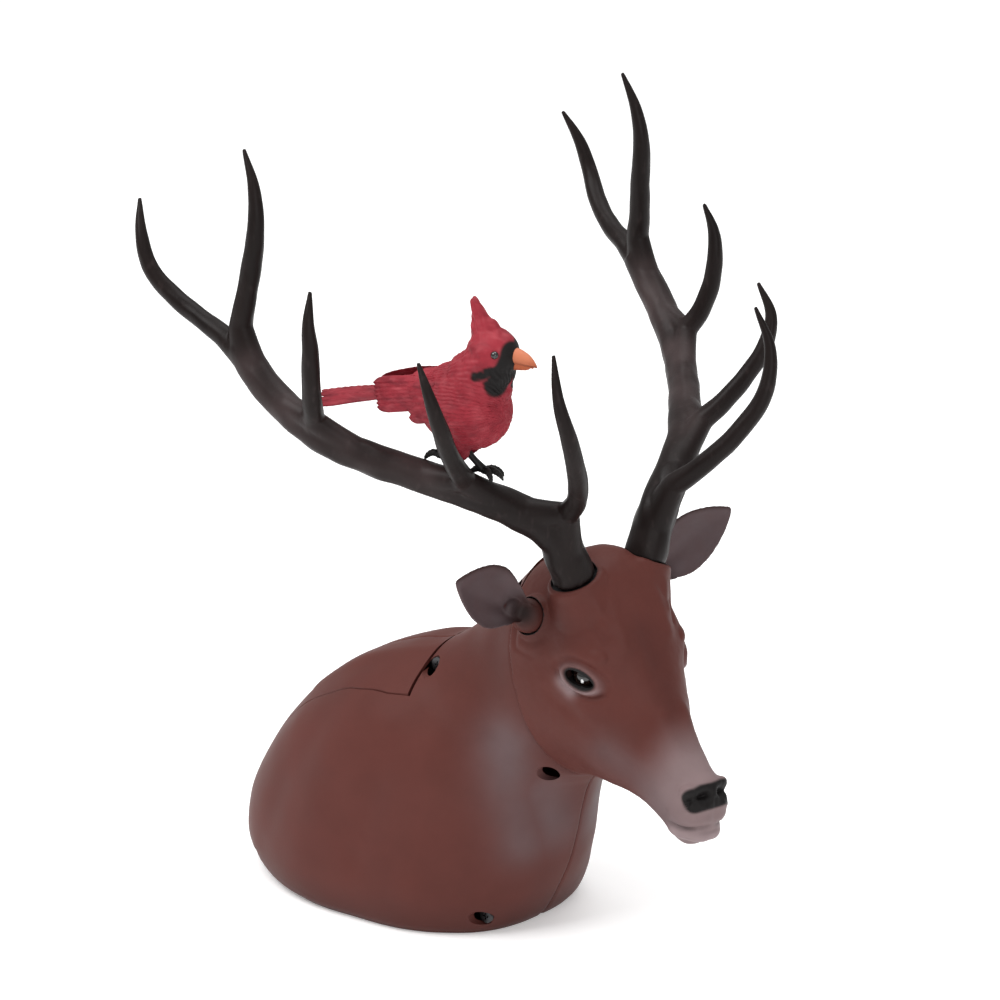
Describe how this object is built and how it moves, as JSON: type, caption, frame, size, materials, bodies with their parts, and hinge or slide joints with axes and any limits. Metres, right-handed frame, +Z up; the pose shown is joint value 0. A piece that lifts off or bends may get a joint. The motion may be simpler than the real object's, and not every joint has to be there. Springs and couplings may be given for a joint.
{
  "type": "stag bust display figure",
  "caption": "Hollow stag bust with turning head, pull-out antlers, swivelling ears, hinged back hatch over a tray, and a small crested bird perched on one antler.",
  "frame": {"origin": "centre of the flat base face, on the floor", "axes": "+X the way the chest faces, +Y the stag's left, +Z up"},
  "size_m": [0.2363, 0.2308, 0.3129],
  "materials": {
    "body_skin": "matte sprayed plastic",
    "head_skin": "matte sprayed plastic",
    "ear_skin": "matte sprayed plastic",
    "antler": "satin sprayed plastic",
    "black_plastic": "moulded, matte",
    "steel": "zinc plated",
    "ballast": "rough",
    "eye_gloss": "gloss",
    "feathers": "matte sprayed plastic",
    "beak": "satin"
  },
  "bodies": {
    "body": {"right_body_shell": "body_skin", "left_body_shell": "body_skin", "base_plate": "black_plastic", "base_screws": "steel", "shell_screws": "steel", "ballast_block": "ballast", "storage_tray": "black_plastic", "hinge_bracket": "steel", "hatch_hinge_pin": "steel", "tray_magnets": "steel", "neck_ring": "black_plastic"},
    "hatch": {"back_hatch": "body_skin", "hatch_hinge_leaf": "steel", "hatch_magnets": "steel"},
    "head": {"head_shell": "head_skin", "head_back_plate": "black_plastic", "head_screws": "steel", "neck_pivot_post": "black_plastic", "friction_washer": "steel", "pivot_clip": "steel", "right_antler_socket": "black_plastic", "left_antler_socket": "black_plastic", "right_eye": "eye_gloss", "left_eye": "eye_gloss", "right_ear_bush": "black_plastic", "left_ear_bush": "black_plastic"},
    "right_antler_body": {"right_antler": "antler", "right_antler_peg": "steel"},
    "left_antler_body": {"left_antler": "antler", "left_antler_peg": "steel"},
    "right_ear_body": {"right_ear": "ear_skin", "right_ear_pin": "steel"},
    "left_ear_body": {"left_ear": "ear_skin", "left_ear_pin": "steel"},
    "bird": {"bird_body": "feathers", "bird_wings": "feathers", "bird_beak": "beak", "bird_eyes": "eye_gloss", "bird_feet": "black_plastic"}
  },
  "joints": [
    {"name": "hatch_hinge", "type": "hinge", "parent": "body", "child": "hatch", "pos_m": [-0.043, 0, 0.0635], "axis": [0, -1, 0], "range_deg": [0, 60]},
    {"name": "head_turn", "type": "hinge", "parent": "body", "child": "head", "pos_m": [0.08228, 0.00033, 0.10975], "axis": [0.941, -0.1829, 0.2847], "range_deg": [-12, 12]},
    {"name": "right_antler_pull", "type": "slide", "parent": "head", "child": "right_antler_body", "axis": [-0.1118, -0.3654, 0.9241], "range_m": [0, 0.015]},
    {"name": "left_antler_pull", "type": "slide", "parent": "head", "child": "left_antler_body", "axis": [0.0332, 0.3807, 0.9241], "range_m": [0, 0.015]},
    {"name": "right_ear_swivel", "type": "hinge", "parent": "head", "child": "right_ear_body", "pos_m": [0.08357, -0.02937, 0.1355], "axis": [-0.0447, -0.863, 0.5033], "range_deg": [-20, 20]},
    {"name": "left_ear_swivel", "type": "hinge", "parent": "head", "child": "left_ear_body", "pos_m": [0.09388, 0.02364, 0.1355], "axis": [-0.2818, -0.8169, -0.5033], "range_deg": [-20, 20]},
    {"name": "bird_lift", "type": "slide", "parent": "right_antler_body", "child": "bird", "axis": [0, 0, 1], "range_m": [0, 0.018]}
  ]
}
